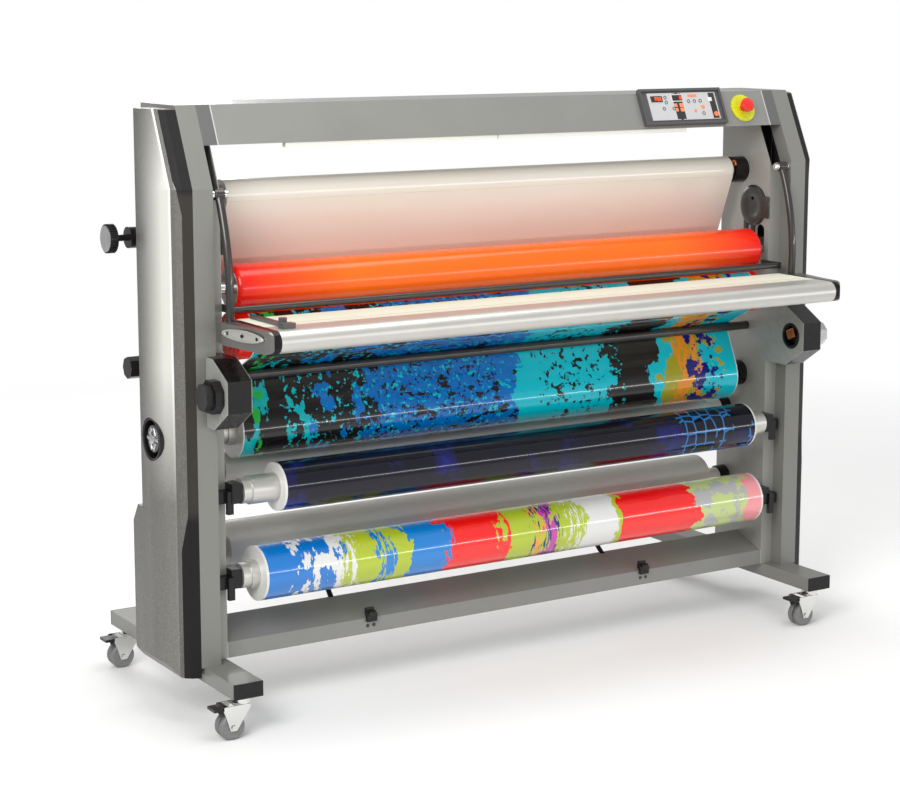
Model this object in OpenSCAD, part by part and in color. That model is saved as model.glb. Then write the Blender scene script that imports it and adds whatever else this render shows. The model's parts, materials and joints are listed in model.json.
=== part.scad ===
// Cold roll laminator on a wheeled stand: two side frames joined by a header beam and a cross beam,
// a nip of two rollers behind a swing-up feed table, and film shafts above, below and behind it.
// The design frame has X = 0 midway between the side frames, Y = 0 on the front face of the
// uprights and Z = 0 on the floor. Every piece is then moved so that the origin is the
// bottom centre of the whole machine.

/* [Side frames] */
// Distance from the middle of the machine to the inner face of a side plate
plate_x = 841; // [650:1:1100]
// Thickness of the side plate sheet
plate_t = 3; // [2:0.5:5]
// Depth of the side plate behind the upright
plate_depth = 207; // [190:1:260]
// Gap between the side plate and the upright, closed by a folded flange
flange_w = 38; // [20:1:60]
// Width of an upright tube
upright_w = 52; // [40:1:70]
// Depth of an upright tube
upright_d = 43; // [35:1:60]
// Wall of the upright and foot tubes
tube_wall = 3; // [2:0.5:5]
// Height of the top of the machine
overall_h = 1480; // [1400:1:1600]
// Height of the slanted head of the frame
head_drop = 191; // [150:1:220]
// How far back the slanted face leans by its top
head_lean = 90; // [60:1:120]
// Depth of the top face of the header beam
head_depth = 196; // [150:1:240]
// Height of the header beam at its back
head_h = 80; // [60:1:110]
// Distance from the top to the lower edge of the header's front face
header_front_h = 93; // [80:1:120]

/* [Stand] */
// Width of a foot tube
foot_w = 76; // [60:1:100]
// Height of a foot tube
foot_h = 37; // [30:1:50]
// How far a foot reaches in front of the uprights
foot_front = 154; // [120:1:200]
// How far a foot reaches behind the front face of the uprights
foot_back = 574; // [450:1:700]
// Thickness of a foot end cap outside the tube
cap_t = 4; // [2:1:8]
// Height of the lip of the lower cross beam
beam_lip = 40; // [30:1:60]
// Depth of the lower cross beam
beam_depth = 105; // [80:1:140]
// Rise of the lower cross beam's top from front to back
beam_rise = 38; // [20:1:60]

/* [Casters] */
// Diameter of a caster wheel
wheel_d = 63; // [50:1:90]
// Width of one of the two wheels
wheel_w = 17; // [12:1:25]
// Gap between the two wheels
wheel_gap = 6; // [4:1:12]
// Height from the floor to the underside of the foot
caster_h = 103; // [90:1:130]
// Horizontal distance from the swivel axis to the wheel axle
caster_trail = 32; // [20:1:36]
// Distance of the front swivel axis from the foot's front end
caster_in_front = 36; // [30:1:60]
// Distance of the rear swivel axis from the foot's rear end
caster_in_back = 40; // [30:1:60]

/* [Nip] */
// Distance of the nip behind the front face of the uprights
nip_y = 78; // [70:1:90]
// Height of the nip
nip_z = 984; // [950:1:1010]
// Radius of the upper roller
upper_r = 58; // [50:1:62]
// Radius of the lower roller
lower_r = 58; // [50:1:62]
// Gap between the rollers at rest, for the film and the print
nip_gap = 0.6; // [0.4:0.1:2]
// Lift of the upper roller
nip_lift = 50; // [30:1:60]
// Diameter of the roller journals
journal_d = 30; // [24:1:36]
// Radial running clearance of a journal in its block
journal_clear = 0.05; // [0.02:0.01:0.1]
// Distance between a roller's end and the side plate
roller_end_gap = 36; // [25:1:50]
// Thickness of the silicone sleeve
sleeve_t = 10; // [6:1:15]

/* [Feed table] */
// Height of the table's top face
table_z = 981; // [950:1:1000]
// Height of the table's rounded front
nose_d = 54; // [45:1:60]
// Distance of the nose's axis in front of the uprights
nose_front = 222; // [180:1:240]
// Gap between the table's deck and the guard bar in plan
deck_back = 14; // [12:1:40]
// How far the table's front reaches past the inner face of a side plate
table_end_out = 7; // [2:1:15]
// Thickness of the deck sheet
deck_t = 4; // [3:0.5:6]
// Diameter of the swing arms
arm_d = 20; // [16:1:24]
// Distance of the arm's pivot behind the front face of the uprights
arm_pivot_y = 15; // [8:1:20]
// Height of the arm's pivot
arm_pivot_z = 1274; // [1240:1:1275]
// Diameter of the guard bar
guard_d = 16; // [12:1:20]

/* [Film shafts] */
// Diameter of a film shaft
shaft_d = 70; // [60:1:76]
// Diameter of a shaft's end journal
stub_d = 24; // [18:1:30]
// Depth of the blocks that carry the shaft ends
block_len = 26; // [20:1:35]
// Gap between a shaft's shoulder and its block
shoulder_gap = 4; // [2:1:8]
// Diameter of the tension bars
bar_d = 24; // [18:1:30]
// Thickness of a film web
web_t = 1; // [0.8:0.1:2]
// Clearance between a web and what it runs over
web_clear = 0.6; // [0.4:0.1:2]

/* [Covers] */
// How far an outer cover stands out from its upright
cover_out = 60; // [50:1:80]
// Depth of an outer cover
cover_depth = 198; // [180:1:220]
// How much the face of an outer cover bulges
cover_bulge = 12; // [6:1:20]
// How much deeper the covers are at their foot
cover_swell = 57; // [40:1:80]
// Wall of the outer covers
cover_wall = 3; // [2:0.5:5]
// Height of the underside of the outer covers
cover_z = 116; // [105:1:160]
// Gap between the top of an outer cover and the top of the frame
cover_top_gap = 8; // [2:1:20]
// Diameter of the hole for the pressure handwheel
wheel_hole_d = 104; // [100:1:120]

/* [Controls] */
// Width of the control bezel
bezel_w = 276; // [240:1:300]
// Height of the control bezel along the slanted face
bezel_h = 102; // [90:1:110]
// Thickness of the control bezel
bezel_t = 14; // [10:1:20]
// Distance from the middle of the machine to the middle of the bezel
bezel_x = 547; // [400:1:600]
// Distance from the middle of the machine to the emergency stop
estop_x = 758; // [720:1:780]
// Diameter of the emergency stop's yellow plate
estop_plate_d = 78; // [60:1:80]
// Travel of the emergency stop
estop_travel = 5; // [3:1:8]
// Travel of the power button
button_travel = 2; // [1:0.5:3]

/* [Hidden] */
$fn = 64;
eps = 0.01;

// Side frame
upright_x0 = plate_x + flange_w;
upright_x1 = upright_x0 + upright_w;
upright_mid = (upright_x0 + upright_x1) / 2;
foot_top = caster_h + foot_h;
bend_z = overall_h - head_drop;
lean = atan2(head_lean, head_drop);
inner_bend_z = bend_z - upright_d * tan(lean / 2);
head_under = overall_h - head_h;
inner_head_y = upright_d + (head_under - inner_bend_z) * tan(lean);
head_back_y = head_lean + head_depth;
plate_back = upright_d + plate_depth;
beam_front_z = overall_h - header_front_h;
function slant_y(z) = (z - bend_z) * tan(lean);

// Rollers
upper_z = nip_z + nip_gap / 2 + upper_r;
lower_z = nip_z - nip_gap / 2 - lower_r;
roller_x = plate_x - roller_end_gap;
slot_clear = 1;
block_t = 24;
block_w = 56;
block_h = 60;
block_x0 = plate_x + plate_t + 2;
lower_block_h = 44;

// Handwheel of the nip, on the left side
wheel_y = 110;
wheel_z = 690;
wheel_hub_d = 36;
handwheel_d = 66;
lift_rod_d = 12;
lift_rod_y = nip_y + 42;
lift_rod_bottom = wheel_z + 40;
lower_block_back = lift_rod_y - lift_rod_d / 2 - 4;
wheel_shaft_d = 14;

// Film shafts: [Y, Z, radius of the roll, left end, right end]
top_film = [167, 1258, 38, -(plate_x - 60), plate_x - 60];
supply = [157, 678, 69, -(plate_x - 74), plate_x - 60];
middle = [27, 556, 60, -(plate_x - 125), plate_x - 91];
take_up = [37, 344, 68, -(plate_x - 73), plate_x - 59];
rear_upper = [218, 570, 46, -(plate_x - 66), plate_x - 96];
rear_lower = [218, 366, 70, -(plate_x - 66), plate_x - 100];
block_x = plate_x - block_len;
top_block_x = plate_x - block_len - 16;
top_shoulder_x = top_block_x - shoulder_gap;
shoulder_x = block_x - shoulder_gap;
hub_t = 22;
hub_d = 62;
plate_block_d = 72;
rear_block_d = 60;
blocks_on_plate = [top_film, supply, rear_upper, rear_lower];
blocks_on_flange = [middle, take_up];

// Tension bars, in front of the supply web and behind the upper roller: [Y, Z]
front_bar = [129, 818];
rear_bar = [222, 1046];

// Drive on the right side
motor_y = 116;
motor_z = 600;
motor_d = 84;
sprocket_x = plate_x + plate_t + 34;
sprocket_w = 7;
motor_sprocket_r = 15;
roller_sprocket_r = 23;
chain_t = 6;
chain_clear = 0.5;

// Winder pods
pod_y = -60;
pod_z = 811;
pod_socket_r = 36;
pod_socket_depth = 20;
pod_x1 = plate_x + 64;
pod_knob_x1 = pod_x1 + 42;

// Table
nose_z = table_z - nose_d / 2;
table_x = plate_x + table_end_out;
end_t = 17;
arm_x = plate_x + 17;
arm_bow = 20;
arm_boss_d = 26;
arm_boss_t = 24;
arm_foot_y = -36;
arm_foot_z = table_z - 8;
guard_y = -4;
guard_z = 1002;
casting_out = 40;

// Rear knobs, on stub shafts outside the left side plate
rear_knob_y = 226;
rear_knob_upper_z = 1162;
rear_knob_lower_z = 846;
rear_knob_tip = plate_x + 214;

// Bounding box of the machine, whose bottom centre is the origin
cover_face = upright_x1 + cover_out;
right_reach = cover_face + cover_bulge;
front_reach = nose_front + nose_d / 2;
origin_x = (right_reach - rear_knob_tip) / 2;
origin_y = (foot_back + cap_t - front_reach) / 2;

// Controls
bezel_mid_z = overall_h - 40;
power_d = 14;
power_x = bezel_w / 2 - 34;
membrane_x = -bezel_w / 2 + 26;
estop_z = overall_h - 46;
estop_plate_t = 3;
estop_stem_d = 22;

// Feet and casters
foot_x = plate_x + 43.5;
stem_d = 12;
caster_ys = [-foot_front + caster_in_front, foot_back - caster_in_back];
axle_d = 8;
axle_z = wheel_d / 2;
housing_d = 46;
housing_h = 14;
swivel_gap = 0.5;
crown_z = caster_h - swivel_gap - 4 - housing_h;
cheek_y = wheel_gap / 2 + wheel_w + 1.5;
cheek_t = 2.5;
pedal_pin = [-44, crown_z - 8];
pedal_pin_d = 6;

// Pins, spindles and their holes
pin_d = 12;
pin_clear = 0.05;
spindle_d = 16;
side_boss_t = 26;

sides = [-1, 1];

// ---- helpers ----
module machine() {
  translate([-origin_x, -origin_y, 0]) children();
}

// Extrudes an outline drawn as (Y, Z) along X
module along_x(x0, x1) {
  translate([x0, 0, 0]) rotate([90, 0, 90]) linear_extrude(x1 - x0) children();
}

// Extrudes an outline drawn as (Y, Z) between two distances from the middle, on one side
module along_side(side, x0, x1) {
  along_x(side > 0 ? x0 : -x1, side > 0 ? x1 : -x0) children();
}

module rod_x(d, x0, x1, y, z) {
  translate([x0, y, z]) rotate([0, 90, 0]) cylinder(d = d, h = x1 - x0);
}

module rod_side(side, d, x0, x1, y, z) {
  rod_x(d, side > 0 ? x0 : -x1, side > 0 ? x1 : -x0, y, z);
}

module box_side(side, x0, x1, y0, y1, z0, z1) {
  translate([side > 0 ? x0 : -x1, y0, z0]) cube([x1 - x0, y1 - y0, z1 - z0]);
}

// Puts its children on the slanted face, with +Z out of the face and +Y up it
module on_slant(x, z) {
  translate([x, slant_y(z), z]) rotate([90 - lean, 0, 0]) children();
}

// Tangent line between two circles [y, z, radius, side], where side is 1 for a circle to the
// left of the direction of travel and -1 for one to the right: returns its two end points
function tangent(a, b) =
  let (d = [b[0] - a[0], b[1] - a[1]],
       phi = atan2(d[1], d[0]) - asin((b[3] * b[2] - a[3] * a[2]) / norm(d)),
       n = [-sin(phi), cos(phi)])
  [[a[0], a[1]] - a[3] * a[2] * n, [b[0], b[1]] - b[3] * b[2] * n];

// Points of an arc round a circle from one point to another, turning the way the web turns
function wrap(c, p, q, steps) =
  let (a0 = atan2(p[1] - c[1], p[0] - c[0]),
       a1 = atan2(q[1] - c[1], q[0] - c[0]),
       raw = a1 - a0,
       turn = c[3] > 0 ? (raw < 0 ? raw + 360 : raw) : (raw > 0 ? raw - 360 : raw))
  [for (i = [0 : steps]) let (a = a0 + turn * i / steps) [c[0] + c[2] * cos(a), c[1] + c[2] * sin(a)]];

function reversed(v) = [for (i = [len(v) - 1 : -1 : 0]) v[i]];

// Widens a circle as the web's other face runs round it
function widened(c, t) = [c[0], c[1], c[2] - c[3] * t, c[3]];

// ---- side frames ----
module uprights() {
  outline = [
    [0, foot_top], [0, bend_z], [head_lean, overall_h], [head_back_y, overall_h],
    [head_back_y, head_under], [inner_head_y, head_under], [upright_d, inner_bend_z],
    [upright_d, foot_top]
  ];
  color("gainsboro") machine() for (s = sides) difference() {
    along_side(s, upright_x0, upright_x1) polygon(outline);
    box_side(s, upright_x0 + tube_wall, upright_x1 - tube_wall, tube_wall, upright_d - tube_wall,
             foot_top - 1, inner_bend_z - tube_wall);
  }
}

module side_plates() {
  outline = [
    [upright_d, foot_top], [upright_d, inner_bend_z], [inner_head_y, head_under],
    [plate_back, head_under], [plate_back, foot_top]
  ];
  slot_w = journal_d + 2 * slot_clear;
  color("silver") machine() for (s = sides) {
    difference() {
      along_side(s, plate_x, plate_x + plate_t) polygon(outline);
      rod_side(s, slot_w, plate_x - 1, plate_x + plate_t + 1, nip_y, upper_z);
      rod_side(s, slot_w, plate_x - 1, plate_x + plate_t + 1, nip_y, upper_z + nip_lift);
      box_side(s, plate_x - 1, plate_x + plate_t + 1, nip_y - slot_w / 2, nip_y + slot_w / 2,
               upper_z, upper_z + nip_lift);
      rod_side(s, slot_w, plate_x - 1, plate_x + plate_t + 1, nip_y, lower_z);
    }
    box_side(s, plate_x + plate_t, upright_x0, upright_d, upright_d + plate_t,
             foot_top, inner_bend_z - plate_t);
  }
}

module top_beam() {
  wall = tube_wall;
  skin = wall / cos(lean);
  front_y = slant_y(beam_front_z);
  lip_back = inner_head_y - (head_under - beam_front_z) * tan(lean);
  color("darkgray") machine() difference() {
    along_x(-upright_x0, upright_x0) polygon([
      [front_y, beam_front_z], [head_lean, overall_h], [head_back_y, overall_h],
      [head_back_y, head_under], [inner_head_y, head_under], [lip_back, beam_front_z]
    ]);
    along_x(-upright_x0 - 1, upright_x0 + 1) polygon([
      [slant_y(head_under + wall) + skin, head_under + wall],
      [slant_y(overall_h - wall) + skin, overall_h - wall],
      [head_back_y - wall, overall_h - wall], [head_back_y - wall, head_under + wall]
    ]);
    on_slant(estop_x, estop_z) translate([0, 0, -2 * wall])
      cylinder(d = estop_stem_d + 2 * pin_clear, h = 3 * wall);
  }
}

module lower_cross_beam() {
  wall = tube_wall;
  back = upright_d + beam_depth;
  top = foot_top + beam_lip;
  color("darkgray") machine() difference() {
    along_x(-plate_x, plate_x) polygon([
      [upright_d, foot_top], [upright_d, top], [back, top + beam_rise], [back, foot_top]
    ]);
    along_x(-plate_x - 1, plate_x + 1) polygon([
      [upright_d + wall, foot_top - 1], [upright_d + wall, top - wall],
      [back - wall, top + beam_rise - wall * 1.3], [back - wall, foot_top - 1]
    ]);
  }
}

module feet() {
  color("gainsboro") machine() for (s = sides) translate([s * foot_x, 0, caster_h]) {
    difference() {
      translate([-foot_w / 2, -foot_front, 0]) cube([foot_w, foot_front + foot_back, foot_h]);
      translate([-foot_w / 2 + tube_wall, -foot_front - 1, tube_wall])
        cube([foot_w - 2 * tube_wall, foot_front + foot_back + 2, foot_h - 2 * tube_wall]);
      for (y = caster_ys) translate([0, y, -1]) cylinder(d = stem_d + 2 * pin_clear, h = tube_wall + 2);
    }
  }
}

module foot_end_caps() {
  plug = 18;
  gap = 0.3;
  color("dimgray") machine() for (s = sides, end = [0, 1]) {
    y0 = end == 0 ? -foot_front - cap_t : foot_back;
    yp = end == 0 ? -foot_front : foot_back - plug;
    translate([s * foot_x - foot_w / 2, y0, caster_h]) cube([foot_w, cap_t, foot_h]);
    translate([s * foot_x - foot_w / 2 + tube_wall + gap, yp, caster_h + tube_wall + gap])
      cube([foot_w - 2 * (tube_wall + gap), plug, foot_h - 2 * (tube_wall + gap)]);
  }
}

// ---- outer covers ----
cover_x0 = upright_x1;
strip_w = 22;
strip_back = 10;
strip_t = 3;
edge_w = 35;
edge_y = 24;
cover_mid = cover_depth * 0.6;
cover_reach = right_reach;
edge_dx = cover_reach - cover_x0 - edge_w;
face_r = (edge_dx * edge_dx + (cover_mid - edge_y) * (cover_mid - edge_y)) / (2 * edge_dx);
face_cx = cover_reach - face_r;
swell_depth = cover_depth + cover_swell;
swell_z = cover_z + 314;
swell_top = swell_z + 84;
cover_top = overall_h - cover_top_gap;

// Front of a cover's plan, as (X, Y) on the right side, from the upright out to its widest point
function cover_front(inset) =
  let (inner = cover_x0 - (inset > 0 ? 1 : 0),
       a0 = atan2(cover_mid - edge_y, face_cx - cover_x0 - edge_w) - 180)
  concat(
    [[inner, strip_t + inset * 1.4], [cover_x0 + strip_w, strip_back + strip_t + inset * 1.4]],
    [for (i = [0 : 10]) let (a = a0 * (1 - i / 10))
      [face_cx + (face_r - inset) * cos(a), cover_mid + (face_r - inset) * sin(a)]]
  );

// Whole plan of a cover of a given depth
function cover_plan(depth, inset) = concat(cover_front(inset), [
  [cover_reach - 3 - inset, depth - 26], [cover_reach - 17 - inset * 1.4, depth - inset],
  [cover_x0 - (inset > 0 ? 1 : 0), depth - inset]
]);

// Leans a plan back with the slanted face, above the bend of the frame
module leaning(plan) {
  reach = 700;
  translate([0, 0, bend_z]) rotate([-lean, 0, 0]) translate([0, 0, -reach]) linear_extrude(2 * reach)
    scale([1, cos(lean)]) polygon(plan);
}

// Limits of a cover: its top, its sloping underside and the step behind its swollen foot
module cover_limits(inset, depth, top) {
  lift = inset > 0 ? inset * 1.5 : 0;
  intersection() {
    translate([0, swell_depth + 1, 0]) rotate([90, 0, 0]) linear_extrude(swell_depth + 2) polygon([
      [cover_x0 - 2, cover_z + lift], [cover_x0 + edge_w + 4, cover_z + lift],
      [cover_reach - 9, cover_z + 29 + lift], [cover_reach + 1, cover_z + 36 + lift],
      [cover_reach + 1, top], [cover_x0 - 2, top]
    ]);
    along_x(cover_x0 - 2, cover_reach + 1) polygon([
      [-1, cover_z], [-1, top], [cover_depth, top], [cover_depth, swell_top],
      [depth, depth > cover_depth ? swell_z : swell_top], [depth, cover_z]
    ]);
  }
}

module cover_body(inset) {
  top = cover_top - inset;
  far = 900;
  side = cover_reach - inset;
  intersection() {
    translate([0, 0, cover_z]) linear_extrude(overall_h) polygon(cover_plan(cover_depth, inset));
    leaning(concat(cover_front(inset), [[side, far], [cover_x0 - (inset > 0 ? 1 : 0), far]]));
    cover_limits(inset, cover_depth, top);
  }
  intersection() {
    translate([0, 0, cover_z]) linear_extrude(swell_top - cover_z) polygon(cover_plan(swell_depth, inset));
    cover_limits(inset, swell_depth, swell_top - inset * 2);
  }
}

// Each shell stands on the outside of its upright and turns in behind the side plate's edge
module outer_covers() {
  color("silver") machine() for (s = sides) difference() {
    union() {
      difference() {
        scale([s, 1, 1]) cover_body(0);
        scale([s, 1, 1]) cover_body(cover_wall);
      }
      box_side(s, plate_x + plate_t, cover_x0 + 1, cover_depth - cover_wall, cover_depth,
               foot_top + 2, head_under - 1);
    }
    if (s < 0) rod_side(s, wheel_hole_d, cover_face - 20, cover_face + 30, wheel_y, wheel_z);
  }
}

// Dark strips on the front edges of the covers, wider at the foot and on the slanted head
module cover_trims() {
  x1 = cover_x0 + strip_w;
  x2 = cover_x0 + edge_w;
  bevel = edge_y - strip_back - strip_t;
  plan = [
    [cover_x0, 0], [x1, strip_back], [x2, strip_back + bevel], [x2, strip_back + bevel + strip_t],
    [x1, strip_back + strip_t], [cover_x0, strip_t]
  ];
  mask = [
    [cover_x0, cover_z], [x2, cover_z], [x2, swell_z], [x1, swell_top], [x1, bend_z - 60],
    [x2, bend_z + 20], [x2, cover_top - 2], [cover_x0, cover_top - 2]
  ];
  color("black") machine() for (s = sides) scale([s, 1, 1]) intersection() {
    union() {
      translate([0, 0, cover_z]) linear_extrude(bend_z - cover_z) polygon(plan);
      intersection() {
        leaning(plan);
        translate([cover_x0, -1, bend_z - eps]) cube([2 * edge_w, cover_depth, overall_h - bend_z]);
      }
    }
    translate([0, cover_depth, 0]) rotate([90, 0, 0]) linear_extrude(2 * cover_depth) polygon(mask);
  }
}

// ---- controls ----
module control_bezel() {
  recess = 5;
  rim = 7;
  color("dimgray") machine() difference() {
    on_slant(bezel_x, bezel_mid_z) difference() {
      translate([-bezel_w / 2, -bezel_h / 2, 0]) cube([bezel_w, bezel_h, bezel_t]);
      translate([-bezel_w / 2 + rim, -bezel_h / 2 + rim, bezel_t - recess])
        cube([bezel_w - 2 * rim, bezel_h - 2 * rim, recess + 1]);
      translate([power_x, -bezel_h / 4, 2]) cylinder(d = power_d + 1, h = bezel_t);
    }
    // cut flush so that nothing hangs over the header's flat top
    translate([bezel_x - bezel_w / 2 - 1, slant_y(overall_h) - 0.3, overall_h - 0.5])
      cube([bezel_w + 2, bezel_h, bezel_h]);
  }
}

module control_membranes() {
  t = 2;
  color("whitesmoke") machine() on_slant(bezel_x, bezel_mid_z) difference() {
    union() {
      translate([membrane_x, -bezel_h / 2 + 12, bezel_t - 5])
        cube([94, bezel_h - 24, t]);
      translate([membrane_x + 102, -bezel_h / 2 + 12, bezel_t - 5])
        cube([128, bezel_h - 24, t]);
    }
    translate([power_x, -bezel_h / 4, 0]) cylinder(d = power_d + 1, h = bezel_t);
  }
}

module power_button() {
  color("orangered") machine() on_slant(bezel_x, bezel_mid_z)
    translate([power_x, -bezel_h / 4, 2 + button_travel + 0.5])
      cylinder(d = power_d, h = bezel_t - 4);
}

module estop_plate() {
  color("gold") machine() on_slant(estop_x, estop_z) difference() {
    cylinder(d = estop_plate_d, h = estop_plate_t);
    translate([0, 0, -1]) cylinder(d = estop_stem_d + 2 * pin_clear, h = estop_plate_t + 2);
  }
}

// A mushroom head on a stem that runs through the plate and the header's front sheet
module estop_button() {
  head_z = estop_plate_t + estop_travel + 8;
  color("red") machine() on_slant(estop_x, estop_z) {
    translate([0, 0, -12]) cylinder(d = estop_stem_d, h = head_z + 12 + eps);
    translate([0, 0, head_z]) rotate_extrude() polygon([
      [0, 0], [17, 0], [20, 4], [20, 10], [17, 14.5], [9, 17], [0, 17.6]
    ]);
  }
}

module light_bars() {
  y = slant_y(beam_front_z);
  color("whitesmoke") machine() {
    for (seg = [[-663, -58], [-55, 550]])
      translate([seg[0], y + 2, beam_front_z - 11]) cube([seg[1] - seg[0], 16, 11]);
  }
}

// ---- feed table ----
module table_nose() {
  wall = 3;
  color("lightgray") machine() {
    difference() {
      union() {
        rod_x(nose_d, -table_x + end_t, table_x - end_t, -nose_front, nose_z);
        translate([-table_x + end_t, -nose_front, table_z - 26])
          cube([2 * (table_x - end_t), 60, 26]);
      }
      rod_x(nose_d - 2 * wall, -table_x, table_x, -nose_front, nose_z);
      translate([-table_x, -nose_front + nose_d / 2 + wall, table_z - 26 + wall])
        cube([2 * table_x, 60 - nose_d / 2 - 2 * wall, 26 - 2 * wall]);
    }
  }
}

deck_front = -nose_front + 60;
module table_deck() {
  skirt = 26;
  color("ivory") machine() difference() {
    translate([-table_x + end_t, deck_front, table_z - skirt])
      cube([2 * (table_x - end_t), -deck_front - deck_back, skirt]);
    translate([-table_x + end_t - 1, deck_front + deck_t, table_z - skirt - 1])
      cube([2 * (table_x - end_t) + 2, -deck_front - deck_back - 2 * deck_t, skirt - deck_t + 1]);
  }
}

// The ends are castings whose outline tapers from the round nose to the rear
module table_end(side) {
  steps = 8;
  r = nose_d / 2;
  front = -nose_front - r;
  outline = concat(
    [for (i = [0 : steps]) let (a = 90 + 180 * i / steps) [-nose_front + r * cos(a), nose_z + r * sin(a)]],
    [[-60, nose_z - r + 2], [-26, nose_z - r + 9], [-deck_back - 3, nose_z - 8], [-deck_back, nose_z],
     [-deck_back, table_z - 13], [-deck_back - 10, table_z - 3], [-deck_back - 24, table_z]]
  );
  plan = [
    [table_x - end_t, front], [table_x, front + 3], [table_x + 8, front + 14], [table_x + 14, front + 28],
    [table_x + 22, -150], [table_x + casting_out, -deck_back - 36],
    [table_x + casting_out, -deck_back - 8], [table_x + casting_out - 8, -deck_back],
    [table_x - end_t, -deck_back]
  ];
  intersection() {
    along_side(side, table_x - end_t, table_x + casting_out + 1) polygon(outline);
    linear_extrude(overall_h) scale([side, 1]) polygon(plan);
  }
}

module table_ends() {
  color("gray") machine() for (s = sides) table_end(s);
}

// A swing arm is a bowed round bar that runs from its pivot pin down to the table's end
module table_arms() {
  dy = arm_foot_y - arm_pivot_y;
  dz = arm_foot_z - arm_pivot_z;
  length = norm([dy, dz]);
  r = (length * length / 4 + arm_bow * arm_bow) / (2 * arm_bow);
  span = 2 * asin(length / 2 / r);
  color("dimgray") machine() for (s = sides) difference() {
    union() {
      rod_side(s, arm_boss_d, arm_x - arm_boss_t / 2, arm_x + arm_boss_t / 2, arm_pivot_y, arm_pivot_z);
      translate([s * arm_x, arm_pivot_y, arm_pivot_z]) rotate([90, 0, 90]) rotate([0, 0, atan2(dz, dy)])
        translate([length / 2, r - arm_bow, 0]) rotate([0, 0, -90 - span / 2])
          rotate_extrude(angle = span) translate([r, 0]) circle(d = arm_d);
    }
    rod_side(s, pin_d + 2 * pin_clear, arm_x - arm_boss_t, upright_x0, arm_pivot_y, arm_pivot_z);
    table_end(s);
  }
}

module table_pivots() {
  head = 4;
  gap = 1;
  near = arm_x - arm_boss_t / 2 - gap;
  far = arm_x + arm_boss_t / 2 + gap;
  color("silver") machine() for (s = sides) {
    rod_side(s, pin_d, near - head, upright_x0, arm_pivot_y, arm_pivot_z);
    rod_side(s, pin_d + 8, near - head, near, arm_pivot_y, arm_pivot_z);
    rod_side(s, pin_d + 8, far, upright_x0, arm_pivot_y, arm_pivot_z);
  }
}

// A flat arm that slides along the deck, with a blade holder and a knob at its front
module cutter_carriage() {
  gap = 0.4;
  bar = [-800, -194, 20, 172];
  z = table_z + gap;
  color("gray") machine() {
    translate([bar[0], bar[1], z]) cube([bar[2], bar[3], 7]);
    translate([bar[0] - 10, bar[1] - 20, z]) cube([32, 26, 12]);
    translate([bar[0] + 10, bar[1] + 22, z + 7 - eps]) cylinder(d = 20, h = 13);
  }
}

module guard_bar() {
  tab_t = 5;
  half = guard_d / 2 + 1;
  color("dimgray") machine() {
    rod_x(guard_d, -plate_x + tab_t, plate_x - tab_t, guard_y, guard_z);
    for (s = sides) box_side(s, plate_x - tab_t, plate_x, guard_y - half, upright_d + 24,
                             guard_z - half, guard_z + half);
  }
}

// ---- nip ----
module upper_roller_sleeve() {
  round = 14;
  color("orangered") machine() translate([-roller_x, nip_y, upper_z]) rotate([0, 90, 0]) difference() {
    rotate_extrude() polygon(concat(
      [[0, 0]],
      [for (i = [0 : 6]) let (a = 90 - 90 * i / 6)
        [upper_r - round + round * cos(a), round - round * sin(a)]],
      [for (i = [0 : 6]) let (a = 90 * i / 6)
        [upper_r - round + round * cos(a), 2 * roller_x - round + round * sin(a)]],
      [[0, 2 * roller_x]]
    ));
    translate([0, 0, -1]) cylinder(r = upper_r - sleeve_t, h = 2 * roller_x + 2);
  }
}

module upper_roller_core() {
  core_r = upper_r - sleeve_t;
  wall = 10;
  journal_x = block_x0 + block_t;
  color("silver") machine() {
    difference() {
      rod_x(2 * core_r, -roller_x, roller_x, nip_y, upper_z);
      rod_x(2 * (core_r - wall), -roller_x + wall, roller_x - wall, nip_y, upper_z);
    }
    for (s = sides) rod_side(s, journal_d, roller_x, journal_x, nip_y, upper_z);
  }
}

module lower_roller() {
  wall = 10;
  inner_end = block_x0 + block_t;
  color("slategray") machine() {
    difference() {
      rod_x(2 * lower_r, -roller_x, roller_x, nip_y, lower_z);
      rod_x(2 * (lower_r - wall), -roller_x + wall, roller_x - wall, nip_y, lower_z);
    }
    rod_side(-1, journal_d, roller_x, inner_end, nip_y, lower_z);
    rod_side(1, journal_d, roller_x, sprocket_x + sprocket_w + 4, nip_y, lower_z);
    difference() {
      rod_x(2 * roller_sprocket_r, sprocket_x, sprocket_x + sprocket_w, nip_y, lower_z);
      rod_x(journal_d, sprocket_x - 1, sprocket_x + sprocket_w + 1, nip_y, lower_z);
    }
  }
}

// The blocks slide up the side plates with the upper roller, each drawn by its lift rod
module nip_blocks() {
  color("dimgray") machine() for (s = sides) {
    difference() {
      box_side(s, block_x0, block_x0 + block_t, nip_y - block_w / 2, lift_rod_y + 10,
               upper_z - block_h / 2 + 4, upper_z + block_h / 2);
      rod_side(s, journal_d + 2 * journal_clear, block_x0 - 1, block_x0 + block_t + 1, nip_y, upper_z);
    }
    translate([s * (block_x0 + block_t / 2), lift_rod_y, lift_rod_bottom])
      cylinder(d = lift_rod_d, h = upper_z - block_h / 2 + 4 - lift_rod_bottom);
  }
}

module nip_handwheel() {
  grips = 24;
  color("silver") machine() {
    rod_side(-1, wheel_shaft_d, plate_x + plate_t + 3, cover_face - 22, wheel_y, wheel_z);
    rod_side(-1, wheel_hub_d, cover_face - 40, cover_face - 22, wheel_y, wheel_z);
    difference() {
      rod_side(-1, handwheel_d, cover_face - 22, cover_face + 4, wheel_y, wheel_z);
      for (i = [0 : grips - 1])
        translate([0, wheel_y, wheel_z]) rotate([360 * i / grips, 0, 0])
          rod_side(-1, 6, cover_face - 23, cover_face + 5, handwheel_d / 2 + 1, 0);
    }
  }
}

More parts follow.
